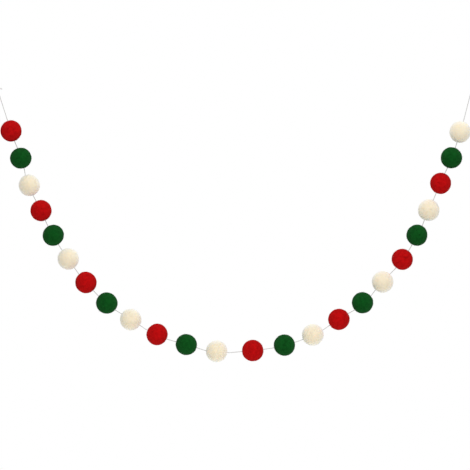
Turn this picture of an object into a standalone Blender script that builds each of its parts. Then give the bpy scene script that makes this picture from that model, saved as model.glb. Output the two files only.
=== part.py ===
"""Felt ball garland: felted wool balls threaded on a cotton string, hung in a deep swag.

Metres, +Z up. The garland hangs in the XZ plane with its front towards -Y and its left end at -X.
The world origin is the point inside the left hanging loop where the hook bears. Everything is
parented to one empty that stands at the swag's lowest point, so the layout below is worked out
about that point.
"""

import math
from collections import namedtuple

import bmesh
import bpy
from mathutils import Vector

# Balls and string
BALL_DIAMETER = 0.025
STRING_DIAMETER = 0.001
CLEARANCE = 0.0003           # kept between any two pieces that touch

# The swag. The string's slope is p + SIDE_STEEPNESS * p ** 3, where p is the distance along the
# string from the lowest point, over SWAG_SCALE. A SIDE_STEEPNESS of 0 is a plain catenary.
SWAG_SCALE = 0.218
SIDE_STEEPNESS = 0.286
FIRST_BALL_AT = -0.3985      # where the leftmost ball sits along the string
SWAG_STEP = 0.001            # step with which the slope is summed

# Past the outermost balls the string runs straight up to a knot, and on into a loop for a hook.
# angle_deg is the string's angle above level there, run is from the ball's centre to the knot's.
End = namedtuple("End", "name side angle_deg run")
ENDS = (
    End("left", -1, 72.0, 0.052),
    End("right", 1, 75.0, 0.060),
)
KNOT_DIAMETER = 0.0036
KNOT_LENGTH = 0.0044
LOOP_LENGTH = 0.022
LOOP_HALF_WIDTH = 0.0065     # the loop's widest half is about three quarters of this
LOOP_START = 0.54            # radians of the loop's own turn that the knot takes up at each leg
LOOP_POINTS = 21

# Resolution of the solids
BALL_STEPS = 16
BALL_ARC_POINTS = 9
KNOT_SEGMENTS = 10
KNOT_RINGS = 6
TUBE_BEVEL_RESOLUTION = 2
STRING_BEND = 0.001          # how far outside a ball the string takes its new direction

# One row for each ball, from the left. off_mm is how far the ball hangs outside the even swag, and
# gap_mm is the clear string between it and the next ball.
Ball = namedtuple("Ball", "colour off_mm gap_mm")
BALLS = (
    Ball("red", 0.5, 9.5),
    Ball("green", -1.0, 8.0),
    Ball("cream", 0.5, 7.5),
    Ball("red", 0.0, 7.5),
    Ball("green", 0.5, 8.0),
    Ball("cream", 0.5, 9.5),
    Ball("red", 1.0, 9.5),
    Ball("green", 1.0, 8.5),
    Ball("cream", -0.5, 11.0),
    Ball("red", 0.0, 11.5),
    Ball("green", -0.5, 11.5),
    Ball("cream", 1.0, 17.5),
    Ball("red", -0.5, 12.5),
    Ball("green", 0.0, 10.5),
    Ball("cream", 0.0, 10.5),
    Ball("red", -1.0, 9.0),
    Ball("green", 0.5, 9.0),
    Ball("cream", -0.5, 10.5),
    Ball("red", 1.0, 8.0),
    Ball("green", 0.5, 7.5),
    Ball("cream", -1.0, 9.0),
    Ball("red", -1.0, 8.0),
    Ball("green", 1.0, 7.0),
    Ball("cream", 2.0, 0.0),
)

# sRGB colours
COLOURS = {
    "red": "#BE1014",
    "green": "#104B1F",
    "cream": "#F0E3C8",
    "string": "#F1EFEB",
}
FELT_ROUGHNESS = 0.95
STRING_ROUGHNESS = 0.85

MM = 0.001


def linear_rgba(hex_colour):
    """Return the linear RGBA of an sRGB hex colour."""
    channels = [int(hex_colour[i:i + 2], 16) / 255 for i in (1, 3, 5)]
    linear = [c / 12.92 if c <= 0.04045 else ((c + 0.055) / 1.055) ** 2.4 for c in channels]
    return (*linear, 1.0)


def make_material(name, hex_colour, roughness):
    """Return a matt Principled material of one colour."""
    material = bpy.data.materials.new(name)
    material.use_nodes = True
    material.diffuse_color = linear_rgba(hex_colour)
    shader = material.node_tree.nodes["Principled BSDF"]
    shader.inputs["Base Color"].default_value = linear_rgba(hex_colour)
    shader.inputs["Roughness"].default_value = roughness
    shader.inputs["Metallic"].default_value = 0.0
    return material


def swag_direction(distance):
    """Return the string's unit direction at a distance along it from the swag's lowest point."""
    load = distance / SWAG_SCALE
    return Vector((1.0, 0.0, load + SIDE_STEEPNESS * load ** 3)).normalized()


def swag_point(distance):
    """Return the point of the even swag at a distance along it from its lowest point."""
    steps = max(1, round(abs(distance) / SWAG_STEP))
    step = distance / steps
    point = Vector((0.0, 0.0, 0.0))
    for i in range(steps):
        point += swag_direction((i + 0.5) * step) * step
    return point


def end_direction(end):
    """Return the unit direction, away from the balls, of the string's straight run at an end."""
    angle = math.radians(end.angle_deg)
    return Vector((end.side * math.cos(angle), 0.0, math.sin(angle)))


def ball_centres():
    """Return each ball's centre, beside the even swag by its own small offset."""
    centres = []
    distance = FIRST_BALL_AT
    for ball in BALLS:
        along = swag_direction(distance)
        outward = Vector((along.z, 0.0, -along.x))
        centres.append(swag_point(distance) + outward * ball.off_mm * MM)
        distance += BALL_DIAMETER + ball.gap_mm * MM
    return centres


def ball_axes(centres):
    """Return the direction in which the string runs through each ball, left to right."""
    left, right = ENDS
    before = centres[0] + end_direction(left)
    after = centres[-1] + end_direction(right)
    axes = []
    for i, centre in enumerate(centres):
        coming = (centre - (centres[i - 1] if i else before)).normalized()
        going = ((centres[i + 1] if i + 1 < len(centres) else after) - centre).normalized()
        axes.append((coming + going).normalized())
    return axes


def ball_profile():
    """Return the half outline of a bored ball: down its outside, with the bore closing it."""
    radius = BALL_DIAMETER / 2
    bore = (STRING_DIAMETER / 2 + CLEARANCE) / math.cos(math.pi / BALL_STEPS)
    mouth = math.asin(bore / radius)
    step = (math.pi - 2 * mouth) / (BALL_ARC_POINTS - 1)
    angles = [mouth + i * step for i in range(BALL_ARC_POINTS)]
    return [(radius * math.sin(angle), 0.0, radius * math.cos(angle)) for angle in angles]


def ball_mesh(colour, material):
    """Return the closed half outline of a ball as a mesh of one colour, for a Screw to turn."""
    profile = ball_profile()
    edges = [(i, (i + 1) % len(profile)) for i in range(len(profile))]
    mesh = bpy.data.meshes.new(f"{colour}_ball")
    mesh.from_pydata(profile, edges, [])
    mesh.materials.append(material)
    return mesh


def knot_mesh(material):
    """Return an overhand knot's outer form: a small egg along Z."""
    shape = bmesh.new()
    bmesh.ops.create_uvsphere(shape, u_segments=KNOT_SEGMENTS, v_segments=KNOT_RINGS, radius=0.5)
    bmesh.ops.scale(shape, vec=(KNOT_DIAMETER, KNOT_DIAMETER, KNOT_LENGTH), verts=shape.verts)
    mesh = bpy.data.meshes.new("knot")
    shape.to_mesh(mesh)
    shape.free()
    mesh.shade_smooth()
    mesh.materials.append(material)
    return mesh


def place(name, data, location, axis, collection, parent):
    """Add an object with its local Z along an axis, and parent it to the swag."""
    item = bpy.data.objects.new(name, data)
    item.location = location
    item.rotation_euler.y = math.atan2(axis.x, axis.z)
    item.parent = parent
    collection.objects.link(item)
    return item


def turn_round(item):
    """Turn an object's half outline once round its own Z axis."""
    screw = item.modifiers.new("Turned", "SCREW")
    screw.axis = "Z"
    screw.angle = 2 * math.pi
    screw.steps = BALL_STEPS
    screw.render_steps = BALL_STEPS
    screw.use_merge_vertices = True
    screw.merge_threshold = 0.00001
    screw.use_smooth_shade = True


def tube(name, points, material):
    """Return a round string along points, with filled ends."""
    curve = bpy.data.curves.new(name, "CURVE")
    curve.dimensions = "3D"
    curve.bevel_depth = STRING_DIAMETER / 2
    curve.bevel_resolution = TUBE_BEVEL_RESOLUTION
    curve.use_fill_caps = True
    spline = curve.splines.new("POLY")
    spline.points.add(len(points) - 1)
    for target, point in zip(spline.points, points):
        target.co = (*point, 1.0)
    spline.use_smooth = True
    curve.materials.append(material)
    return curve


def knot_centre(end, centres):
    """Return where an end's knot sits."""
    outer = centres[0] if end.side < 0 else centres[-1]
    return outer + end_direction(end) * end.run


def string_points(centres, axes):
    """Return the string's route from knot to knot: straight through each ball, then on to the next."""
    left, right = ENDS
    short_of_knot = KNOT_LENGTH / 2 + CLEARANCE
    inside = BALL_DIAMETER / 2 + STRING_BEND
    points = [knot_centre(left, centres) - end_direction(left) * short_of_knot]
    for centre, axis in zip(centres, axes):
        points.append(centre - axis * inside)
        points.append(centre + axis * inside)
    points.append(knot_centre(right, centres) - end_direction(right) * short_of_knot)
    return points


def loop_outline():
    """Return the hanging loop's drop shape, standing on Z = 0 and open where the knot holds it."""
    points = []
    for i in range(LOOP_POINTS):
        turn = LOOP_START + (2 * math.pi - 2 * LOOP_START) * i / (LOOP_POINTS - 1)
        across = -LOOP_HALF_WIDTH * math.sin(turn) * math.sin(turn / 2)
        up = LOOP_LENGTH * (1 - math.cos(turn)) / 2
        points.append(Vector((across, 0.0, up)))
    return points


def loop_foot():
    """Return how far above the knot's centre the loop's outline stands."""
    lowest = loop_outline()[0].z
    return KNOT_LENGTH / 2 + CLEARANCE + STRING_DIAMETER / 4 - lowest


def hook_point(end, centres):
    """Return where a hook bears inside an end's loop."""
    reach = loop_foot() + LOOP_LENGTH - STRING_DIAMETER / 2
    return knot_centre(end, centres) + end_direction(end) * reach


def build():
    """Build the garland."""
    for item in list(bpy.data.objects):
        bpy.data.objects.remove(item)
    collection = bpy.data.collections.new("felt_ball_garland")
    bpy.context.scene.collection.children.link(collection)

    felt = {}
    for colour in ("red", "green", "cream"):
        felt[colour] = make_material(f"{colour}_felt", COLOURS[colour], FELT_ROUGHNESS)
    cotton = make_material("cotton_string", COLOURS["string"], STRING_ROUGHNESS)

    centres = ball_centres()
    axes = ball_axes(centres)
    swag = bpy.data.objects.new("swag", None)
    swag.location = -hook_point(ENDS[0], centres)
    collection.objects.link(swag)

    meshes = {colour: ball_mesh(colour, material) for colour, material in felt.items()}
    for number, (ball, centre, axis) in enumerate(zip(BALLS, centres, axes), start=1):
        name = f"ball_{number:02d}"
        turn_round(place(name, meshes[ball.colour], centre, axis, collection, swag))

    up = Vector((0.0, 0.0, 1.0))
    string = tube("string", string_points(centres, axes), cotton)
    place("string", string, Vector(), up, collection, swag)
    knot = knot_mesh(cotton)
    loop = tube("loop", loop_outline(), cotton)
    for end in ENDS:
        direction = end_direction(end)
        centre = knot_centre(end, centres)
        foot = centre + direction * loop_foot()
        place(f"{end.name}_knot", knot, centre, direction, collection, swag)
        place(f"{end.name}_loop", loop, foot, direction, collection, swag)


build()
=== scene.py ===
"""Felt ball garland: felted wool balls on twisted cotton string, hung from a loop at each end.

Metres, +Z up, front towards -Y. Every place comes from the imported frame; sizes and colours that a
user might change are in the property groups, and Geometry Nodes make the balls, string and fibres.
"""

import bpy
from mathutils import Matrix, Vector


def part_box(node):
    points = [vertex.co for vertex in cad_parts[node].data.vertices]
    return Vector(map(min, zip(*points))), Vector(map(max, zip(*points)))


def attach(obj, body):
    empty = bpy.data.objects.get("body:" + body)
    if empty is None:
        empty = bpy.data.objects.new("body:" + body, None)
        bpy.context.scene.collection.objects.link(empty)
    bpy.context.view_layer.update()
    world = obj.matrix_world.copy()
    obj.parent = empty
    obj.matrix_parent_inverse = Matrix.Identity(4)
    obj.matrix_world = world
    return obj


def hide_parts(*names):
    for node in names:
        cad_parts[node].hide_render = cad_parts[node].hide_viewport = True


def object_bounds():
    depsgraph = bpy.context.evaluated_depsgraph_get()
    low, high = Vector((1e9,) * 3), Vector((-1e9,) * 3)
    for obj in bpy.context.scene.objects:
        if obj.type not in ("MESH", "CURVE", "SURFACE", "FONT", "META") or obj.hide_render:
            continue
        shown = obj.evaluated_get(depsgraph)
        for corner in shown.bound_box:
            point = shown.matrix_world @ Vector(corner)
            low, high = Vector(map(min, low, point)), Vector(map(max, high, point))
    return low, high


bl_info = {
    "name": "Felt Ball Garland",
    "version": (1, 0, 0),
    "blender": (4, 5, 0),
    "location": "3D View > Sidebar > Garland",
    "description": "Builds a garland of felted wool balls on a cotton string, with its stage",
    "category": "Object",
}

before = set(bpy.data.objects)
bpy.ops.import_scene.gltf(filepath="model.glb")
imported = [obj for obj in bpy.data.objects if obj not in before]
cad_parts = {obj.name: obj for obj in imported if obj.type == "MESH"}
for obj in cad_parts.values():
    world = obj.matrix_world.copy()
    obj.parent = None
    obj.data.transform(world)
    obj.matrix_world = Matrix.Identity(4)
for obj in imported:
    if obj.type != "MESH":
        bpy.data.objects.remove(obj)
CAD_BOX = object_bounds()

import math
from collections import namedtuple

import bmesh
import bpy
from bpy.props import FloatProperty, FloatVectorProperty, IntProperty, PointerProperty
from mathutils import Matrix, Vector

BODY = "root"
MATH = "ShaderNodeMath"
VECTOR_MATH = "ShaderNodeVectorMath"
MM = 0.001

# The balls' order of colours, repeated from the left
COLOUR_ORDER = ("red", "green", "cream")
BALL_NODES = sorted(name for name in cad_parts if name.startswith("ball_"))

# The hanging loops' drop shape, as they lie in the frame
LOOP_LENGTH = 0.022
LOOP_HALF_WIDTH = 0.0065     # the loop's widest half is about three quarters of this
LOOP_START = 0.54            # radians of the loop's own turn that the knot takes up at each leg
LOOP_POINTS = 21
LOOP_FOOT = 0.00275          # from the middle of the knot to the foot of the loop's legs

# The string's centreline is resampled and eased, so that it bends as soft cotton does
STRING_BEND = 0.001          # how far outside a ball the string takes its new direction
ROUTE_STEP = 0.00035
EASE_SPAN = 5
EASE_PASSES = 3

# The tied knot, in millimetres: a strand winds round the string while it waves in and out, and
# leaves as a short tail that droops
KNOT_STEPS = 120
KNOT_TURNS = 2
KNOT_WAVES = 3
KNOT_REACH = 0.92
KNOT_WAVE = 0.42
KNOT_RISE = 1.15
KNOT_EASE_SPAN = 1
KNOT_EASE_PASSES = 2
TAIL_POINTS = 15
TAIL_STEP = 0.28
TAIL_DROOP = 0.06
TAIL_WAY = (0.3, 0.75, -0.55)    # shares of the strand's last step, and of across and along

# Mesh resolution
BALL_SUBDIVISIONS = 6
FIBRE_POINTS = 5
FIBRE_SIDES = 3
STRING_SIDES = 12
PLIES = 3

# The felt's skin: sizes of its fields of random height
SEED_STEP = 3.7              # how far apart the balls' random fields lie
GRAIN_SIZE = 1.1 * MM
CREASE_CELL = 13 * MM        # creases follow the edges of cells of this size
CREASE_WIDTH = 0.55 * MM     # half the width of a crease
CREASE_STRAY = 3.2 * MM      # how far a crease wanders from its straight cell edge
CREASE_STRAY_SIZE = 3.5 * MM
CREASE_PATCH = 6.0 * MM      # size of the patches in which creases show
CREASE_PATCH_RANGE = (0.1, 0.8)

# Loose fibres, in shares of the longest fibre or of its lift
SHORTEST_FIBRE = 0.25
SHORT_FIBRE_BIAS = 1.8       # above 1, most fibres are short
LEAST_RISE = 0.15
LOOPED_SHARE = 0.45          # fibres that lie back on the surface at their tip
ARCH_HEIGHT = 2.4
STAND_POWER = 1.3
FIBRE_TAPER = 0.7
CURL_SPREAD = 9000.0         # sets neighbouring fibres' curls apart
CURL_SCALE = 1.3
LENGTH_SEED = 11
RISE_SEED = 23
KIND_SEED = 37

# How fibres stand on the ball and on the string. Map places are shares of the UV map: the skin of
# a ball or string lies below, its loose fibres above.
BALL_FUZZ = {"Lift": 0.55, "Curl": 1.1, "Map rows": 60, "Map strips": 60, "Map base": 0.5,
             "Map height": 0.49}
STRING_FUZZ = {"Length": 1.3 * MM, "Thickness": 0.035 * MM, "Lift": 0.5, "Curl": 0.8,
               "Map rows": 60, "Map strips": 70, "Map base": 0.82, "Map height": 0.17}
STRING_MAP = {"Map base": 0.0, "Map height": 0.8}
STRING_MAP_ROWS = 200
STRING_SEED = 60
KNOT_MAP_ROWS = 12
KNOT_MAP_STRIPS = 12
KNOT_SEED = 71


def linear(hex_colour):
    """Return the linear RGBA of an sRGB hex colour."""
    channels = [int(hex_colour[i:i + 2], 16) / 255 for i in (1, 3, 5)]
    values = [c / 12.92 if c <= 0.04045 else ((c + 0.055) / 1.055) ** 2.4 for c in channels]
    return (*values, 1.0)


# ---------------------------------------------------------------------------------------------
# Settings
# ---------------------------------------------------------------------------------------------

class GarlandBallSettings(bpy.types.PropertyGroup):
    """Sizes and colours of the felted wool balls."""

    out_of_round: FloatProperty(
        name="Out of round", description="How far a hand-rolled ball strays from a true sphere",
        default=0.00045, min=0.0, max=0.003, precision=5, unit="LENGTH")
    lump_height: FloatProperty(
        name="Lump height", description="Height of the soft lumps in the felt",
        default=0.00013, min=0.0, max=0.002, precision=5, unit="LENGTH")
    lump_size: FloatProperty(
        name="Lump size", description="Width of the soft lumps in the felt",
        default=0.0042, min=0.001, max=0.02, precision=5, unit="LENGTH")
    relief: FloatProperty(
        name="Felt relief", description="Height of the matted grain on the skin",
        default=0.00007, min=0.0, max=0.001, precision=5, unit="LENGTH")
    crease_depth: FloatProperty(
        name="Crease depth", description="Depth of the short creases where wool layers closed up",
        default=0.00018, min=0.0, max=0.002, precision=5, unit="LENGTH")
    dimple_depth: FloatProperty(
        name="Dimple depth", description="How far the string pulls the felt in where it enters",
        default=0.0006, min=0.0, max=0.003, precision=5, unit="LENGTH")
    dimple_radius: FloatProperty(
        name="Dimple radius", description="Radius of the dent round the string",
        default=0.0022, min=0.0005, max=0.01, precision=5, unit="LENGTH")
    fibres: IntProperty(
        name="Loose fibres", description="Loose wool fibres that stand off each ball",
        default=460, min=0, max=4000)
    fibre_length: FloatProperty(
        name="Fibre length", description="Length of the longest loose fibres",
        default=0.0030, min=0.0002, max=0.01, precision=5, unit="LENGTH")
    fibre_thickness: FloatProperty(
        name="Fibre thickness", description="Thickness of a loose fibre at its root",
        default=0.00007, min=0.00001, max=0.001, precision=5, unit="LENGTH")
    red: FloatVectorProperty(
        name="Red", description="Colour of the red wool", subtype="COLOR", size=4,
        default=linear("#B00C0E"), min=0.0, max=1.0)
    green: FloatVectorProperty(
        name="Green", description="Colour of the green wool", subtype="COLOR", size=4,
        default=linear("#0C4917"), min=0.0, max=1.0)
    cream: FloatVectorProperty(
        name="Cream", description="Colour of the undyed wool", subtype="COLOR", size=4,
        default=linear("#EBDFC6"), min=0.0, max=1.0)


class GarlandStringSettings(bpy.types.PropertyGroup):
    """Sizes and colour of the twisted cotton string."""

    diameter: FloatProperty(
        name="Diameter", description="Thickness of the string over its plies",
        default=0.001, min=0.0003, max=0.005, precision=5, unit="LENGTH")
    twist: FloatProperty(
        name="Twist", description="Length of one full turn of the plies",
        default=0.0032, min=0.001, max=0.02, precision=5, unit="LENGTH")
    ply_depth: FloatProperty(
        name="Ply depth", description="Depth of the grooves between plies, as a share of radius",
        default=0.16, min=0.0, max=0.4)
    fibres_per_metre: IntProperty(
        name="Loose fibres per metre", description="Short cotton fibres that stand off the string",
        default=700, min=0, max=5000)
    colour: FloatVectorProperty(
        name="Colour", description="Colour of the bleached cotton", subtype="COLOR", size=4,
        default=linear("#E8E7E5"), min=0.0, max=1.0)


class GarlandStageSettings(bpy.types.PropertyGroup):
    """Camera, light and floor."""

    view_width: FloatProperty(
        name="View width", description="Width that the camera sees at the garland",
        default=0.5516, min=0.1, max=5.0, precision=4, unit="LENGTH")
    view_rise: FloatProperty(
        name="View rise", description="Height of the camera above the string's lowest point",
        default=0.1369, min=-1.0, max=2.0, precision=4, unit="LENGTH")
    camera_distance: FloatProperty(
        name="Camera distance", description="Distance of the camera in front of the garland",
        default=3.0, min=0.5, max=20.0, unit="LENGTH")
    floor_drop: FloatProperty(
        name="Floor drop", description="Height of the garland's lowest point above the floor",
        default=0.22, min=0.0, max=2.0, precision=3, unit="LENGTH")
    floor_radius: FloatProperty(
        name="Floor radius", description="Radius of the pale round floor",
        default=0.55, min=0.1, max=5.0, precision=3, unit="LENGTH")


# ---------------------------------------------------------------------------------------------
# Helpers
# ---------------------------------------------------------------------------------------------

def add_node(tree, kind, inputs=(), **settings):
    """Add a node with its settings, values and links, and return it.

    Inputs go by name or place, or in order. A node given as an input links its first output.
    """
    node = tree.nodes.new(kind)
    for name, value in settings.items():
        setattr(node, name, value)
    pairs = inputs.items() if isinstance(inputs, dict) else enumerate(inputs)
    for key, value in pairs:
        source = value.outputs[0] if isinstance(value, bpy.types.Node) else value
        if isinstance(source, bpy.types.NodeSocket):
            tree.links.new(source, node.inputs[key])
        else:
            node.inputs[key].default_value = source
    return node


def new_tree(name, sockets):
    """Return a Geometry Nodes tree with named inputs and its group input node."""
    tree = bpy.data.node_groups.new(name, "GeometryNodeTree")
    tree.interface.new_socket("Geometry", in_out="OUTPUT", socket_type="NodeSocketGeometry")
    for label, kind in sockets:
        tree.interface.new_socket(label, in_out="INPUT", socket_type=f"NodeSocket{kind}")
    return tree, tree.nodes.new("NodeGroupInput").outputs


def set_inputs(modifier, values):
    """Set a Geometry Nodes modifier's inputs, found by the names they carry in its tree."""
    for item in modifier.node_group.interface.items_tree:
        if item.in_out == "INPUT" and item.name in values:
            modifier[item.identifier] = values[item.name]


def settle(source, name):
    """Return the evaluated shape of an object as a plain mesh object, and remove the source."""
    graph = bpy.context.evaluated_depsgraph_get()
    graph.update()
    shape = source.evaluated_get(graph)
    mesh = bpy.data.meshes.new_from_object(shape, preserve_all_data_layers=True, depsgraph=graph)
    mesh.name = name
    old = source.data
    bpy.data.objects.remove(source)
    if isinstance(old, bpy.types.Curve):
        bpy.data.curves.remove(old)
    else:
        bpy.data.meshes.remove(old)
    piece = bpy.data.objects.new(name, mesh)
    bpy.context.scene.collection.objects.link(piece)
    return piece


def run_tree(data, name, tree, values):
    """Return a plain mesh piece made by a tree on some data."""
    source = bpy.data.objects.new(f"{name}_source", data)
    bpy.context.scene.collection.objects.link(source)
    modifier = source.modifiers.new("Made", "NODES")
    modifier.node_group = tree
    set_inputs(modifier, values)
    return settle(source, name)


def poly_line(name, points):
    """Return a curve of straight steps through points."""
    curve = bpy.data.curves.new(name, "CURVE")
    curve.dimensions = "3D"
    curve.twist_mode = "MINIMUM"
    spline = curve.splines.new("POLY")
    spline.points.add(len(points) - 1)
    for target, point in zip(spline.points, points):
        target.co = (*point, 1.0)
    return curve


def middle(node):
    """Return the middle of a CAD node's box."""
    low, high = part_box(node)
    return (low + high) / 2


def require(found, what):
    """Stop the build if something it needs is missing."""
    if not found:
        raise RuntimeError(f"{what} is missing, so the piece can't be made")
    return found


# ---------------------------------------------------------------------------------------------
# The garland's layout, read from the frame
# ---------------------------------------------------------------------------------------------

def ball_centres():
    """Return the centres of the balls from left to right."""
    return [middle(name) for name in require(BALL_NODES, "every ball's CAD node")]


def across_of(along):
    """Return the direction square to another one, in the garland's plane."""
    return Vector((along.z, 0.0, -along.x))


def end_direction(side, centres):
    """Return the string's direction from the outermost ball up to its knot, left or right."""
    outer = centres[0] if side == "left" else centres[-1]
    return (middle(f"{side}_knot") - outer).normalized()


def ball_axes(centres):
    """Return the direction of the string through each ball, from left to right."""
    line = [middle("left_knot"), *centres, middle("right_knot")]
    axes = []
    for before, here, after in zip(line, line[1:], line[2:]):
        axes.append(((here - before).normalized() + (after - here).normalized()).normalized())
    return axes


def ball_diameter():
    """Return the balls' diameter, which is their depth from front to back."""
    low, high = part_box(BALL_NODES[0])
    return high.y - low.y


def loop_route(side, centres):
    """Return the line of a hanging loop: up its left leg, over the hook and down its right leg."""
    along = end_direction(side, centres)
    across = across_of(along)
    foot = LOOP_FOOT - LOOP_LENGTH * (1 - math.cos(LOOP_START)) / 2
    start = middle(f"{side}_knot") + along * foot
    points = []
    for i in range(LOOP_POINTS):
        turn = LOOP_START + (2 * math.pi - 2 * LOOP_START) * i / (LOOP_POINTS - 1)
        sideways = -LOOP_HALF_WIDTH * math.sin(turn) * math.sin(turn / 2)
        up = LOOP_LENGTH * (1 - math.cos(turn)) / 2
        points.append(start + across * sideways + along * up)
    return points


def string_route():
    """Return the string's whole centreline, with the loop at each end tied back into its knot."""
    centres = ball_centres()
    inside = ball_diameter() / 2 + STRING_BEND
    left, right = middle("left_knot"), middle("right_knot")
    points = [left, *loop_route("left", centres), left]
    for centre, axis in zip(centres, ball_axes(centres)):
        points += [centre - axis * inside, centre + axis * inside]
    return points + [right, *loop_route("right", centres), right]


def resampled(points, step):
    """Return points about one step apart along a line."""
    result = []
    for start, end in zip(points, points[1:]):
        count = max(1, round((end - start).length / step))
        result += [start.lerp(end, i / count) for i in range(count)]
    return result + [points[-1]]


def eased(points, span, passes):
    """Return a line with its corners rounded by averaging each point with its neighbours."""
    for _ in range(passes):
        smooth = list(points)
        for i in range(span, len(points) - span):
            total = Vector((0.0, 0.0, 0.0))
            for point in points[i - span:i + span + 1]:
                total += point
            smooth[i] = total / (2 * span + 1)
        points = smooth
    return points


# ---------------------------------------------------------------------------------------------
# Node trees
# ---------------------------------------------------------------------------------------------

def finish_tree(tree, parts, material):
    """End a tree: its parts joined, made real and given their material."""
    whole = add_node(tree, "GeometryNodeJoinGeometry")
    for part in parts:
        tree.links.new(part.outputs[0], whole.inputs[0])
    real = add_node(tree, "GeometryNodeRealizeInstances", {0: whole})
    done = add_node(tree, "GeometryNodeSetMaterial", {"Geometry": real, "Material": material})
    add_node(tree, "NodeGroupOutput", {0: done})


def face_cells_tree():
    """Return a tree that gives every face of swept tubes its own cell of the UV map.

    Faces lie in rings, and rings are stacked into strips, so a tube's faces stay side by side.
    """
    tree, given = new_tree("Face cells", (
        ("Mesh", "Geometry"), ("Ring faces", "Int"), ("Rows", "Int"), ("Strips", "Int"),
        ("Map base", "Float"), ("Map height", "Float")))
    corner = add_node(tree, "GeometryNodeFaceOfCorner")

    def whole_part(number, group):
        """Return how many whole groups come before a whole number."""
        share = add_node(tree, MATH, (number, 0.5), operation="ADD")
        share = add_node(tree, MATH, (share, group), operation="DIVIDE")
        return add_node(tree, MATH, (share,), operation="FLOOR")

    face = corner.outputs["Face Index"]
    ring = whole_part(face, given["Ring faces"])
    across = add_node(tree, MATH, (face, given["Ring faces"]), operation="MODULO")
    strip = whole_part(ring, given["Rows"])
    row = add_node(tree, MATH, (ring, given["Rows"]), operation="MODULO")
    at = corner.outputs["Index in Face"]
    # A quad's corners run (0, 0), (0, 1), (1, 1), (1, 0) as across and along.
    step_across = add_node(tree, MATH, (at, 1.5), operation="GREATER_THAN")
    step_along = add_node(tree, MATH, (at, 1.5, 0.6), operation="COMPARE")
    column = add_node(tree, MATH, (across, step_across), operation="ADD")
    column = add_node(tree, MATH, (strip, given["Ring faces"], column), operation="MULTIPLY_ADD")
    columns = add_node(tree, MATH, (given["Strips"], given["Ring faces"]), operation="MULTIPLY")
    u = add_node(tree, MATH, (column, columns), operation="DIVIDE")
    v = add_node(tree, MATH, (row, step_along), operation="ADD")
    v = add_node(tree, MATH, (v, given["Rows"]), operation="DIVIDE")
    v = add_node(tree, MATH, (v, given["Map height"], given["Map base"]), operation="MULTIPLY_ADD")
    place = add_node(tree, "ShaderNodeCombineXYZ", {"X": u, "Y": v})
    stored = add_node(
        tree, "GeometryNodeStoreNamedAttribute",
        {"Geometry": given["Mesh"], "Name": "OFBake", "Value": place},
        data_type="FLOAT2", domain="CORNER")
    add_node(tree, "NodeGroupOutput", {0: stored})
    return tree


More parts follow.
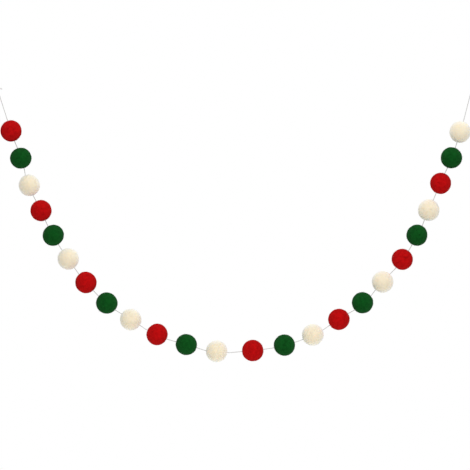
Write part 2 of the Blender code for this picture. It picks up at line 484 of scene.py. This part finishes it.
def stray_fibres_tree(face_cells):
    """Return a tree that grows loose fibres on a surface: some free-ended, some looped back in."""
    tree, given = new_tree("Stray fibres", (
        ("Surface", "Geometry"), ("Density", "Float"), ("Length", "Float"), ("Thickness", "Float"),
        ("Lift", "Float"), ("Curl", "Float"), ("Seed", "Int"), ("Map rows", "Int"),
        ("Map strips", "Int"), ("Map base", "Float"), ("Map height", "Float")))
    roots = add_node(
        tree, "GeometryNodeDistributePointsOnFaces",
        {"Mesh": given["Surface"], "Density": given["Density"], "Seed": given["Seed"]},
        distribute_method="RANDOM")
    # Each fibre's own way over the surface, length, lift and kind
    wander = add_node(
        tree, "FunctionNodeRandomValue",
        {"Min": (-1.0, -1.0, -1.0), "Max": (1.0, 1.0, 1.0), "Seed": given["Seed"]},
        data_type="FLOAT_VECTOR")
    side = add_node(
        tree, VECTOR_MATH,
        {0: roots.outputs["Normal"], 1: wander.outputs[0]}, operation="CROSS_PRODUCT")
    side = add_node(tree, VECTOR_MATH, {0: side}, operation="NORMALIZE")
    chances = [
        add_node(tree, "FunctionNodeRandomValue", {2: least, 3: 1.0, 8: seed}, data_type="FLOAT")
        for least, seed in ((0.0, LENGTH_SEED), (LEAST_RISE, RISE_SEED), (0.0, KIND_SEED))]
    length_chance, rise_chance, free_chance = [node.outputs[1] for node in chances]
    length = add_node(tree, MATH, (length_chance, SHORT_FIBRE_BIAS), operation="POWER")
    length = add_node(
        tree, MATH, (length, 1.0 - SHORTEST_FIBRE, SHORTEST_FIBRE), operation="MULTIPLY_ADD")
    length = add_node(tree, MATH, (length, given["Length"]), operation="MULTIPLY")
    rise = add_node(tree, MATH, (rise_chance, given["Lift"]), operation="MULTIPLY")
    free = add_node(tree, MATH, (free_chance, LOOPED_SHARE), operation="GREATER_THAN")
    kept = add_node(tree, "GeometryNodeCaptureAttribute", domain="POINT")
    fields = (("VECTOR", "Root", add_node(tree, "GeometryNodeInputPosition").outputs[0]),
              ("VECTOR", "Up", roots.outputs["Normal"]), ("VECTOR", "Side", side.outputs[0]),
              ("FLOAT", "Own length", length.outputs[0]), ("FLOAT", "Rise", rise.outputs[0]),
              ("FLOAT", "Free", free.outputs[0]))
    tree.links.new(roots.outputs["Points"], kept.inputs["Geometry"])
    for kind, label, field in fields:
        kept.capture_items.new(kind, label)
        tree.links.new(field, kept.inputs[label])
    strand = add_node(tree, "GeometryNodeCurvePrimitiveLine", {"End": (0.0, 0.0, MM)})
    strand = add_node(tree, "GeometryNodeResampleCurve", {"Curve": strand, "Count": FIBRE_POINTS})
    grown = add_node(
        tree, "GeometryNodeInstanceOnPoints", {"Points": kept, "Instance": strand})
    grown = add_node(tree, "GeometryNodeRealizeInstances", {0: grown})
    # Place each strand's points: along the surface, up off it, and curled by noise
    factor = add_node(tree, "GeometryNodeSplineParameter").outputs["Factor"]
    arch = add_node(tree, MATH, (1.0, factor), operation="SUBTRACT")
    arch = add_node(tree, MATH, (factor, arch), operation="MULTIPLY")
    arch = add_node(tree, MATH, (arch, ARCH_HEIGHT), operation="MULTIPLY")
    stand = add_node(tree, MATH, (factor, STAND_POWER), operation="POWER")
    profile = add_node(tree, "ShaderNodeMix", {0: kept.outputs["Free"], 2: arch, 3: stand})
    up_by = add_node(tree, MATH, (profile.outputs[0], kept.outputs["Rise"]), operation="MULTIPLY")
    up_by = add_node(tree, MATH, (up_by, kept.outputs["Own length"]), operation="MULTIPLY")
    up_by = add_node(tree, MATH, (up_by, given["Thickness"]), operation="SUBTRACT")
    over = add_node(tree, MATH, (factor, kept.outputs["Own length"]), operation="MULTIPLY")
    curl_at = add_node(
        tree, VECTOR_MATH,
        {0: kept.outputs["Root"], 1: (CURL_SPREAD,) * 3, 2: factor}, operation="MULTIPLY_ADD")
    curl = add_node(
        tree, "ShaderNodeTexNoise", {"Vector": curl_at, "Scale": CURL_SCALE, "Detail": 0.0})
    curl = add_node(
        tree, VECTOR_MATH, {0: curl.outputs["Color"], 1: (0.5, 0.5, 0.5)},
        operation="SUBTRACT")
    bend = add_node(tree, MATH, (over, given["Curl"]), operation="MULTIPLY")
    places = add_node(
        tree, VECTOR_MATH, {0: kept.outputs["Side"], "Scale": over}, operation="SCALE")
    lifted = add_node(
        tree, VECTOR_MATH, {0: kept.outputs["Up"], "Scale": up_by}, operation="SCALE")
    curled = add_node(tree, VECTOR_MATH, {0: curl, "Scale": bend}, operation="SCALE")
    for part in (kept.outputs["Root"], lifted, curled):
        places = add_node(tree, VECTOR_MATH, {0: places, 1: part}, operation="ADD")
    strands = add_node(tree, "GeometryNodeSetPosition", {"Geometry": grown, "Position": places})
    taper = add_node(tree, MATH, (factor, -FIBRE_TAPER, 1.0), operation="MULTIPLY_ADD")
    thick = add_node(tree, MATH, (given["Thickness"], 0.5), operation="MULTIPLY")
    thick = add_node(tree, MATH, (taper, thick), operation="MULTIPLY")
    ring = add_node(
        tree, "GeometryNodeCurvePrimitiveCircle", {"Resolution": FIBRE_SIDES, "Radius": 1.0})
    tubes = add_node(
        tree, "GeometryNodeCurveToMesh",
        {"Curve": strands, "Profile Curve": ring, "Scale": thick, "Fill Caps": True})
    faceted = add_node(
        tree, "GeometryNodeSetShadeSmooth", {"Geometry": tubes, "Shade Smooth": False})
    # Fibres are marked: the felt paints them lighter, as painted light, and keeps bump and scatter
    # off them
    marked = add_node(
        tree, "GeometryNodeStoreNamedAttribute",
        {"Geometry": faceted, "Name": "fibre", "Value": 1.0}, data_type="FLOAT", domain="POINT")
    mapped = add_node(
        tree, "GeometryNodeGroup",
        {"Mesh": marked, "Ring faces": FIBRE_SIDES, "Rows": given["Map rows"],
         "Strips": given["Map strips"], "Map base": given["Map base"],
         "Map height": given["Map height"]}, node_tree=face_cells)
    add_node(tree, "NodeGroupOutput", {0: mapped})
    return tree


def felt_ball_tree(stray_fibres):
    """Return a tree that makes one felted ball, with its string's way along its own Z."""
    tree, given = new_tree("Felt ball", (
        ("Diameter", "Float"), ("Out of round", "Float"), ("Lump height", "Float"),
        ("Lump size", "Float"), ("Felt relief", "Float"), ("Crease depth", "Float"),
        ("Dimple depth", "Float"), ("Dimple radius", "Float"), ("Fibres", "Int"),
        ("Fibre length", "Float"), ("Fibre thickness", "Float"), ("Seed", "Int"),
        ("Material", "Material")))
    radius = add_node(tree, MATH, (given["Diameter"], 0.5), operation="MULTIPLY")
    sphere = add_node(
        tree, "GeometryNodeMeshIcoSphere", {"Radius": radius, "Subdivisions": BALL_SUBDIVISIONS})
    skin = add_node(
        tree, "GeometryNodeStoreNamedAttribute",
        {"Geometry": sphere.outputs["Mesh"], "Name": "OFBake", "Value": sphere.outputs["UV Map"]},
        data_type="FLOAT2", domain="CORNER")
    place = add_node(tree, "GeometryNodeInputPosition")
    outward = add_node(tree, VECTOR_MATH, {0: place}, operation="NORMALIZE")
    seed = add_node(tree, MATH, (given["Seed"], SEED_STEP), operation="MULTIPLY")

    def swell(size, detail, offset):
        """Return a soft random field from about -1 to 1, with lumps of one size.

        The offset sets it apart from the ball's other fields.
        """
        own = add_node(tree, MATH, (seed, offset), operation="ADD")
        scale = add_node(tree, MATH, (1.0, size), operation="DIVIDE")
        noise = add_node(
            tree, "ShaderNodeTexNoise",
            {"Vector": place, "W": own, "Scale": scale, "Detail": detail}, noise_dimensions="4D")
        return add_node(tree, MATH, (noise.outputs[0], 4.0, -2.0), operation="MULTIPLY_ADD")

    height = 0.0
    for field, label in ((swell(given["Diameter"], 0.0, 0.0), "Out of round"),
                         (swell(given["Lump size"], 1.5, 5.0), "Lump height"),
                         (swell(GRAIN_SIZE, 2.0, 9.0), "Felt relief")):
        height = add_node(tree, MATH, (field, given[label], height), operation="MULTIPLY_ADD")
    # Creases follow the edges of wandering cells, and only where a slow field allows them
    wander = add_node(
        tree, "ShaderNodeTexNoise",
        {"Vector": place, "W": seed, "Scale": 1 / CREASE_STRAY_SIZE, "Detail": 1.0},
        noise_dimensions="4D")
    strayed = add_node(
        tree, VECTOR_MATH,
        {0: wander.outputs["Color"], 1: (CREASE_STRAY,) * 3, 2: place}, operation="MULTIPLY_ADD")
    cells = add_node(
        tree, "ShaderNodeTexVoronoi",
        {"Vector": strayed, "W": seed, "Scale": 1 / CREASE_CELL},
        voronoi_dimensions="4D", feature="DISTANCE_TO_EDGE")
    groove = add_node(
        tree, "ShaderNodeMapRange",
        {"Value": cells.outputs["Distance"], "From Max": CREASE_WIDTH / CREASE_CELL, "To Min": 1.0,
         "To Max": 0.0}, interpolation_type="SMOOTHSTEP")
    allowed = add_node(
        tree, "ShaderNodeMapRange",
        {"Value": swell(CREASE_PATCH, 0.0, 17.0), "From Min": CREASE_PATCH_RANGE[0],
         "From Max": CREASE_PATCH_RANGE[1]}, interpolation_type="SMOOTHSTEP")
    crease = add_node(tree, MATH, (groove.outputs[0], allowed.outputs[0]), operation="MULTIPLY")
    flat = add_node(
        tree, VECTOR_MATH, {0: place, 1: (1.0, 1.0, 0.0)}, operation="MULTIPLY")
    away = add_node(tree, VECTOR_MATH, {0: flat}, operation="LENGTH").outputs["Value"]
    dimple = add_node(
        tree, "ShaderNodeMapRange",
        {"Value": away, "From Min": 0.0, "From Max": given["Dimple radius"], "To Min": 1.0,
         "To Max": 0.0}, interpolation_type="SMOOTHSTEP").outputs[0]
    dents = add_node(tree, MATH, (crease, given["Crease depth"]), operation="MULTIPLY")
    dents = add_node(tree, MATH, (dimple, given["Dimple depth"], dents), operation="MULTIPLY_ADD")
    height = add_node(tree, MATH, (height, dents), operation="SUBTRACT")
    offset = add_node(
        tree, VECTOR_MATH, {0: outward, "Scale": height}, operation="SCALE")
    # Creases and the string's dimple are stored as the mask for the felt's painted shade
    marked = add_node(
        tree, "GeometryNodeStoreNamedAttribute",
        {"Geometry": skin, "Name": "crease",
         "Value": add_node(tree, MATH, (crease, dimple), operation="MAXIMUM")},
        data_type="FLOAT", domain="POINT")
    skin = add_node(tree, "GeometryNodeSetPosition", {"Geometry": marked, "Offset": offset})
    area = add_node(tree, MATH, (given["Diameter"], 2.0), operation="POWER")
    area = add_node(tree, MATH, (area, math.pi), operation="MULTIPLY")
    density = add_node(tree, MATH, (given["Fibres"], area), operation="DIVIDE")
    fuzz = add_node(
        tree, "GeometryNodeGroup",
        {"Surface": skin, "Density": density, "Length": given["Fibre length"],
         "Thickness": given["Fibre thickness"], "Seed": given["Seed"], **BALL_FUZZ},
        node_tree=stray_fibres)
    finish_tree(tree, (fuzz, skin), given["Material"])
    return tree


def twisted_string_tree(stray_fibres, face_cells):
    """Return a tree that lays plies of cotton round a line, with a few loose fibres."""
    tree, given = new_tree("Twisted string", (
        ("Line", "Geometry"), ("Diameter", "Float"), ("Twist", "Float"), ("Ply depth", "Float"),
        ("Fibres per metre", "Int"), ("Map rows", "Int"), ("Map strips", "Int"), ("Seed", "Int"),
        ("Material", "Material")))
    run = add_node(tree, "GeometryNodeSplineParameter").outputs["Length"]
    turns = add_node(tree, MATH, (run, given["Twist"]), operation="DIVIDE")
    tilt = add_node(tree, MATH, (turns, 2 * math.pi), operation="MULTIPLY")
    line = add_node(tree, "GeometryNodeSetCurveTilt", {"Curve": given["Line"], "Tilt": tilt})
    # The cross-section is a circle whose radius swells once for each ply
    circle = add_node(
        tree, "GeometryNodeCurvePrimitiveCircle", {"Resolution": STRING_SIDES, "Radius": 0.5})
    index = add_node(tree, "GeometryNodeInputIndex")
    lobe = add_node(
        tree, MATH, (index, 2 * math.pi * PLIES / STRING_SIDES), operation="MULTIPLY")
    lobe = add_node(tree, MATH, (lobe,), operation="COSINE")
    lobe = add_node(tree, MATH, (lobe, 0.5, -0.5), operation="MULTIPLY_ADD")
    swell = add_node(tree, MATH, (lobe, given["Ply depth"], 1.0), operation="MULTIPLY_ADD")
    where = add_node(tree, "GeometryNodeInputPosition")
    lobed = add_node(tree, VECTOR_MATH, {0: where, "Scale": swell}, operation="SCALE")
    section = add_node(tree, "GeometryNodeSetPosition", {"Geometry": circle, "Position": lobed})
    # The grooves between plies are also stored, as the mask for the string's painted shade
    ply = add_node(
        tree, "GeometryNodeStoreNamedAttribute",
        {"Geometry": section, "Name": "groove",
         "Value": add_node(tree, MATH, (lobe, -1.0), operation="MULTIPLY")},
        data_type="FLOAT", domain="POINT")
    tube = add_node(
        tree, "GeometryNodeCurveToMesh",
        {"Curve": line, "Profile Curve": ply, "Scale": given["Diameter"], "Fill Caps": True})
    mapped = add_node(
        tree, "GeometryNodeGroup",
        {"Mesh": tube, "Ring faces": STRING_SIDES, "Rows": given["Map rows"],
         "Strips": given["Map strips"], **STRING_MAP}, node_tree=face_cells)
    girth = add_node(tree, MATH, (given["Diameter"], math.pi), operation="MULTIPLY")
    density = add_node(tree, MATH, (given["Fibres per metre"], girth), operation="DIVIDE")
    fuzz = add_node(
        tree, "GeometryNodeGroup",
        {"Surface": mapped, "Density": density, "Seed": given["Seed"], **STRING_FUZZ},
        node_tree=stray_fibres)
    finish_tree(tree, (fuzz, mapped), given["Material"])
    return tree


# ---------------------------------------------------------------------------------------------
# Materials
# ---------------------------------------------------------------------------------------------

# Wet-felted wool: scales of the fibres scatter light widely, so there is no gloss at all. Dyed wool
# stays deep to its edge. Undyed wool passes light on under its skin, so it looks evenly pale. Its
# colour is painted paler round the rim where it is seen edge on: a painted sheen. Every felt has
# painted shade in its creases and the string's dimples, and painted light on its loose fibres.
Felt = namedtuple("Felt", "mottle crease_shade rim sheen sheen_tint scatter bump fibre_shade")
FELTS = {
    "red": Felt(0.15, 0.25, None, 0.03, "#FFC0B8", 0.0, 0.8, 0.25),
    "green": Felt(0.18, 0.25, None, 0.06, "#B8D8C8", 0.0, 0.8, 0.25),
    "cream": Felt(0.03, 0.12, "#FCF7EA", 0.30, "#FFFDF6", 0.5, 0.55, 0.06),
}
FELT_SURFACE = {"Roughness": 0.95, "IOR": 1.54, "Specular IOR Level": 0.0, "Sheen Roughness": 0.6}
FELT_BUMP_DEPTH = 0.12 * MM
PAINTED_SHEEN_START = 0.10             # how far from face the painted sheen on the rim begins, from 0 to 1
PAINTED_SHEEN_FULL = 0.90
SCATTER_DEPTH = 10.0 * MM
SCATTER_RADIUS = (1.0, 0.9, 0.7)
MOTTLE_SIZE = 3.2 * MM       # patches of wool dyed a shade apart
STRAND_SIZE = 0.55 * MM      # matted fibres, drawn about ten times coarser than they are, to show
STRAND_TONE = 3.0            # the strands' contrast, as a share of the mottle's
WEB_SIZE = 1.6 * MM          # spacing of the single fibres that wander over the skin
WEB_RANGE = (0.9, 1.5)
WEB_HEIGHT = 0.5             # how far they stand out in the bump, as a share of the strands
NOISE_RANGE = (0.3, 0.7)     # a noise's usual lowest and highest value

# Bleached cotton string: matt, with painted shade that greys the grooves between its plies, so the
# crown of each ply looks slightly brighter. Its fibres are drawn about ten times coarser than they
# are, to show.
COTTON_SURFACE = {"Roughness": 0.85, "Specular IOR Level": 0.2, "Sheen Weight": 0.1}
COTTON_FIBRE_SIZE = 0.18 * MM
COTTON_FIBRE_TONE = 0.25
COTTON_BUMP = 0.6
COTTON_BUMP_DEPTH = 0.04 * MM
GROOVE_PAINTED_SHADE = 0.42

# Studio paper: matt and nearly white, with a grain that only just shows.
PAPER_SURFACE = {"Roughness": 0.9}
PAPER_COLOUR = "#FCFCFA"
PAPER_GRAIN_SIZE = 2.0 * MM
PAPER_GRAIN_TONE = 0.03


def start_material(name, sockets):
    """Return a new material's tree, shader and object coordinates, with constants on the shader."""
    material = bpy.data.materials.new(name)
    material.use_nodes = True
    tree = material.node_tree
    shader = tree.nodes["Principled BSDF"]
    for key, value in sockets.items():
        shader.inputs[key].default_value = value
    return material, tree, shader, add_node(tree, "ShaderNodeTexCoord").outputs["Object"]


def tint(tree, shader, base, tone):
    """Set the shader's colour to a base colour made lighter or darker by a tone."""
    shade = add_node(tree, VECTOR_MATH, {0: base, "Scale": tone}, operation="SCALE")
    tree.links.new(shade.outputs[0], shader.inputs["Base Color"])


def wool_felt(name, colour, kind):
    """Return matted wool felt of one colour, with painted shade in its creases and dimples and
    painted light on its loose fibres.
    """
    look = FELTS[kind]
    material, tree, shader, where = start_material(name, {
        **FELT_SURFACE, "Sheen Weight": look.sheen, "Sheen Tint": linear(look.sheen_tint),
        "Subsurface Radius": SCATTER_RADIUS, "Subsurface Scale": SCATTER_DEPTH})
    mottle = add_node(
        tree, "ShaderNodeTexNoise", {"Vector": where, "Scale": 1 / MOTTLE_SIZE, "Detail": 2.0})
    strands = add_node(
        tree, "ShaderNodeTexNoise",
        {"Vector": where, "Scale": 1 / STRAND_SIZE, "Detail": 3.0, "Roughness": 0.65,
         "Distortion": 1.6})
    # Single fibres that wander over the skin, as thin ridges
    webs = add_node(
        tree, "ShaderNodeTexNoise",
        {"Vector": where, "Scale": 1 / WEB_SIZE, "Detail": 2.0, "Roughness": 0.6,
         "Distortion": 1.2}, noise_type="RIDGED_MULTIFRACTAL")
    web = add_node(
        tree, "ShaderNodeMapRange",
        {"Value": webs.outputs[0], "From Min": WEB_RANGE[0], "From Max": WEB_RANGE[1]},
        interpolation_type="SMOOTHSTEP").outputs[0]
    crease = add_node(tree, "ShaderNodeAttribute", attribute_name="crease").outputs["Fac"]
    fibre = add_node(tree, "ShaderNodeAttribute", attribute_name="fibre").outputs["Fac"]
    # Tone of the wool: 1 on average, less in creases and dimples as painted shade, more on a loose
    # fibre as painted light
    tone = add_node(
        tree, "ShaderNodeMapRange",
        {"Value": mottle.outputs[0], "From Min": NOISE_RANGE[0], "From Max": NOISE_RANGE[1],
         "To Min": 1.0 - look.mottle, "To Max": 1.0 + look.mottle})
    strand = add_node(tree, MATH, (strands.outputs[0], 0.5), operation="SUBTRACT")
    tone = add_node(
        tree, MATH, (strand, STRAND_TONE * look.mottle, tone), operation="MULTIPLY_ADD")
    # Painted shade: darker in the creases and in the dimple round the string
    tone = add_node(tree, MATH, (crease, -look.crease_shade, tone), operation="MULTIPLY_ADD")
    tone = add_node(tree, MATH, (web, look.mottle, tone), operation="MULTIPLY_ADD")
    # Painted light: loose fibres are made lighter than the skin
    tone = add_node(tree, MATH, (fibre, look.fibre_shade, tone), operation="MULTIPLY_ADD")
    base = colour[:3]
    # Painted sheen: for a felt with a pale rim colour, the base colour fades to it where the skin
    # is seen edge on
    if look.rim:
        edge = add_node(tree, "ShaderNodeLayerWeight", {"Blend": 0.5}).outputs["Facing"]
        rim = add_node(
            tree, "ShaderNodeMapRange",
            {"Value": edge, "From Min": PAINTED_SHEEN_START, "From Max": PAINTED_SHEEN_FULL},
            interpolation_type="SMOOTHSTEP")
        base = add_node(
            tree, "ShaderNodeMix", {0: rim, 6: colour, 7: linear(look.rim)},
            data_type="RGBA").outputs[2]
    tint(tree, shader, base, tone)
    height = add_node(tree, MATH, (web, WEB_HEIGHT, strands.outputs[0]), operation="MULTIPLY_ADD")
    height = add_node(
        tree, MATH, (height, add_node(tree, MATH, (1.0, fibre), operation="SUBTRACT")),
        operation="MULTIPLY")
    bump = add_node(
        tree, "ShaderNodeBump",
        {"Height": height, "Strength": look.bump, "Distance": FELT_BUMP_DEPTH})
    tree.links.new(bump.outputs[0], shader.inputs["Normal"])
    if look.scatter:
        inside = add_node(
            tree, MATH, (fibre, -look.scatter, look.scatter), operation="MULTIPLY_ADD")
        tree.links.new(inside.outputs[0], shader.inputs["Subsurface Weight"])
    return material


def twisted_cotton(name, colour):
    """Return bleached twisted cotton, with painted shade in the grooves between its plies."""
    material, tree, shader, where = start_material(name, COTTON_SURFACE)
    fibres = add_node(
        tree, "ShaderNodeTexNoise",
        {"Vector": where, "Scale": 1 / COTTON_FIBRE_SIZE, "Detail": 2.0, "Distortion": 1.0})
    groove = add_node(tree, "ShaderNodeAttribute", attribute_name="groove").outputs["Fac"]
    # Painted shade: darker in the grooves between plies
    tone = add_node(tree, MATH, (groove, -GROOVE_PAINTED_SHADE, 1.0), operation="MULTIPLY_ADD")
    fibre = add_node(tree, MATH, (fibres.outputs[0], 0.5), operation="SUBTRACT")
    tone = add_node(tree, MATH, (fibre, COTTON_FIBRE_TONE, tone), operation="MULTIPLY_ADD")
    tint(tree, shader, colour[:3], tone)
    bump = add_node(
        tree, "ShaderNodeBump",
        {"Height": fibres.outputs[0], "Strength": COTTON_BUMP, "Distance": COTTON_BUMP_DEPTH})
    tree.links.new(bump.outputs[0], shader.inputs["Normal"])
    return material


def pale_floor(name):
    """Return matt off-white studio paper with a faint grain."""
    material, tree, shader, where = start_material(name, PAPER_SURFACE)
    grain = add_node(tree, "ShaderNodeTexNoise", {"Vector": where, "Scale": 1 / PAPER_GRAIN_SIZE})
    tone = add_node(
        tree, MATH, (grain, PAPER_GRAIN_TONE, 1.0 - PAPER_GRAIN_TONE), operation="MULTIPLY_ADD")
    tint(tree, shader, linear(PAPER_COLOUR)[:3], tone)
    return material


# ---------------------------------------------------------------------------------------------
# Operators
# ---------------------------------------------------------------------------------------------

# Lights: name, place relative to the garland's middle, size and power in watts
LIGHTS = (
    ("key", Vector((0.50, -2.4, 0.7)), 1.6, 23.0),
    ("top", Vector((0.2, -0.9, 2.0)), 1.6, 18.0),
    ("back", Vector((-0.5, 2.4, 0.7)), 1.8, 22.0),
)
AMBIENT = 0.54               # how strongly the white surround lights the garland
WHITE = (1.0, 1.0, 1.0, 1.0)
SENSOR_WIDTH = 36.0
CLIP_END = 50.0
FLOOR_SIDES = 96


class GARLAND_OT_stage(bpy.types.Operator):
    """Set up the camera, the soft lights, the white surround and the pale floor"""

    bl_idname = "garland.stage"
    bl_label = "Build stage"

    def execute(self, context):
        settings = context.scene.garland_stage
        low, high = CAD_BOX
        lowest = min(middle(name).z for name in BALL_NODES)
        centre = Vector(((low.x + high.x) / 2, 0.0, lowest + settings.view_rise))

        camera = bpy.data.cameras.new("camera")
        camera.sensor_width = SENSOR_WIDTH
        camera.lens = SENSOR_WIDTH * settings.camera_distance / settings.view_width
        camera.clip_end = CLIP_END
        viewer = bpy.data.objects.new("camera", camera)
        viewer.location = centre - Vector((0.0, settings.camera_distance, 0.0))
        viewer.rotation_euler = (math.pi / 2, 0.0, 0.0)
        context.scene.collection.objects.link(viewer)
        context.scene.camera = viewer

        for name, place, size, power in LIGHTS:
            light = bpy.data.lights.new(f"{name}_light", "AREA")
            light.size = size
            light.energy = power
            lamp = bpy.data.objects.new(f"{name}_light", light)
            lamp.location = centre + place
            lamp.rotation_euler = (-place).to_track_quat("-Z", "Y").to_euler()
            lamp.visible_camera = False
            context.scene.collection.objects.link(lamp)

        # The camera sees a white surround, which lights the garland only softly
        world = bpy.data.worlds.new("surround")
        world.use_nodes = True
        tree = world.node_tree
        tree.nodes.clear()
        seen = add_node(tree, "ShaderNodeBackground", {"Color": WHITE, "Strength": 1.0})
        soft = add_node(tree, "ShaderNodeBackground", {"Color": WHITE, "Strength": AMBIENT})
        ray = add_node(tree, "ShaderNodeLightPath").outputs["Is Camera Ray"]
        mixed = add_node(tree, "ShaderNodeMixShader", {0: ray, 1: soft, 2: seen})
        add_node(tree, "ShaderNodeOutputWorld", {"Surface": mixed})
        context.scene.world = world
        context.scene.view_settings.view_transform = "Standard"

        shape = bmesh.new()
        bmesh.ops.create_circle(
            shape, cap_ends=True, segments=FLOOR_SIDES, radius=settings.floor_radius)
        bmesh.ops.translate(
            shape, verts=shape.verts, vec=(centre.x, 0.0, low.z - settings.floor_drop))
        mesh = bpy.data.meshes.new("floor")
        shape.to_mesh(mesh)
        shape.free()
        mesh.materials.append(pale_floor("studio_paper"))
        floor = bpy.data.objects.new("floor", mesh)
        context.scene.collection.objects.link(floor)
        return {"FINISHED"}


def knot_line(side, centres):
    """Return the line of a tight overhand knot: twice round the string, and its short tail."""
    along = end_direction(side, centres)
    across = across_of(along)
    front = Vector((0.0, -1.0, 0.0))
    centre = middle(f"{side}_knot")
    points = []
    for i in range(KNOT_STEPS):
        turn = 2 * math.pi * i / KNOT_STEPS
        wound = KNOT_TURNS * turn
        waved = KNOT_WAVES * turn
        reach = (KNOT_REACH + KNOT_WAVE * math.cos(waved)) * MM
        points.append(
            centre + across * reach * math.cos(wound) + front * reach * math.sin(wound)
            + along * KNOT_RISE * MM * math.sin(waved))
    end = points[-1]
    last_step = (end - points[-2]).normalized()
    onward, sideways, upward = TAIL_WAY
    out = (last_step * onward + across * sideways + along * upward).normalized()
    for i in range(1, TAIL_POINTS + 1):
        points.append(end + out * i * TAIL_STEP * MM - along * (i * TAIL_DROOP) ** 2 * MM)
    return points


def cotton_piece(settings, name, points, rows, strips, seed):
    """Return a piece of twisted cotton string along points."""
    tree = bpy.data.node_groups["Twisted string"]
    return run_tree(poly_line(f"{name}_line", points), name, tree, {
        "Diameter": settings.diameter, "Twist": settings.twist, "Ply depth": settings.ply_depth,
        "Fibres per metre": settings.fibres_per_metre, "Map rows": rows, "Map strips": strips,
        "Seed": seed, "Material": bpy.data.materials["twisted_cotton"]})


class GARLAND_OT_knots(bpy.types.Operator):
    """Tie the knot below each hanging loop"""

    bl_idname = "garland.knots"
    bl_label = "Build knots"

    def execute(self, context):
        centres = ball_centres()
        for number, side in enumerate(("left", "right")):
            piece = cotton_piece(
                context.scene.garland_string, f"{side}_tied_knot",
                eased(knot_line(side, centres), KNOT_EASE_SPAN, KNOT_EASE_PASSES),
                KNOT_MAP_ROWS, KNOT_MAP_STRIPS, KNOT_SEED + number)
            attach(piece, BODY)
            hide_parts(f"{side}_knot")
        return {"FINISHED"}


class GARLAND_OT_string(bpy.types.Operator):
    """Lay the twisted cotton string through every ball, with its loop at each end"""

    bl_idname = "garland.string"
    bl_label = "Build string"

    def execute(self, context):
        settings = context.scene.garland_string
        route = eased(resampled(string_route(), ROUTE_STEP), EASE_SPAN, EASE_PASSES)
        strips = math.ceil((len(route) + 1) / STRING_MAP_ROWS)
        string = cotton_piece(
            settings, "cotton_string", route, STRING_MAP_ROWS, strips, STRING_SEED)
        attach(string, BODY)
        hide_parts("string", "left_loop", "right_loop")
        return {"FINISHED"}


class GARLAND_OT_balls(bpy.types.Operator):
    """Felt the balls and thread them on the string"""

    bl_idname = "garland.balls"
    bl_label = "Build felt balls"

    def execute(self, context):
        settings = context.scene.garland_balls
        tree = felt_ball_tree(bpy.data.node_groups["Stray fibres"])
        felts = {}
        for colour in COLOUR_ORDER:
            felts[colour] = wool_felt(f"{colour}_wool_felt", getattr(settings, colour), colour)
        centres = ball_centres()
        for number, (centre, axis) in enumerate(zip(centres, ball_axes(centres)), start=1):
            colour = COLOUR_ORDER[(number - 1) % len(COLOUR_ORDER)]
            node = f"ball_{number:02d}"
            blank = bpy.data.meshes.new(f"{node}_blank")
            piece = run_tree(blank, f"felt_{node}", tree, {
                "Diameter": ball_diameter(), "Out of round": settings.out_of_round,
                "Lump height": settings.lump_height, "Lump size": settings.lump_size,
                "Felt relief": settings.relief, "Crease depth": settings.crease_depth,
                "Dimple depth": settings.dimple_depth, "Dimple radius": settings.dimple_radius,
                "Fibres": settings.fibres, "Fibre length": settings.fibre_length,
                "Fibre thickness": settings.fibre_thickness, "Seed": number,
                "Material": felts[colour]})
            turn = Matrix.Rotation(math.atan2(axis.x, axis.z), 4, "Y")
            piece.data.transform(Matrix.Translation(centre) @ turn)
            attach(piece, BODY)
            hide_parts(node)
        return {"FINISHED"}


class GARLAND_PT_panel(bpy.types.Panel):
    """The garland's build steps and settings"""

    bl_label = "Felt Ball Garland"
    bl_idname = "GARLAND_PT_panel"
    bl_space_type = "VIEW_3D"
    bl_region_type = "UI"
    bl_category = "Garland"

    def draw(self, context):
        layout = self.layout
        for step in STEPS:
            layout.operator(step.bl_idname)
        for label, settings in (("Balls", context.scene.garland_balls),
                                ("String", context.scene.garland_string),
                                ("Stage", context.scene.garland_stage)):
            box = layout.box()
            box.label(text=label)
            for name in settings.__annotations__:
                box.prop(settings, name)


STEPS = (GARLAND_OT_stage, GARLAND_OT_knots, GARLAND_OT_string, GARLAND_OT_balls)
SETTINGS = (
    ("garland_balls", GarlandBallSettings),
    ("garland_string", GarlandStringSettings),
    ("garland_stage", GarlandStageSettings),
)


def register():
    """Register the settings, the operators and the panel."""
    for name, group in SETTINGS:
        bpy.utils.register_class(group)
        setattr(bpy.types.Scene, name, PointerProperty(type=group))
    for item in (*STEPS, GARLAND_PT_panel):
        bpy.utils.register_class(item)


def unregister():
    """Remove what register added."""
    for item in reversed((*STEPS, GARLAND_PT_panel)):
        bpy.utils.unregister_class(item)
    for name, group in reversed(SETTINGS):
        delattr(bpy.types.Scene, name)
        bpy.utils.unregister_class(group)


def main():
    """Build the stage and every piece."""
    register()
    cells = face_cells_tree()
    fibres = stray_fibres_tree(cells)
    twisted_string_tree(fibres, cells)
    twisted_cotton("twisted_cotton", bpy.context.scene.garland_string.colour)
    bpy.ops.garland.stage()
    bpy.ops.garland.knots()
    bpy.ops.garland.string()
    bpy.ops.garland.balls()


if __name__ == "__main__":
    main()
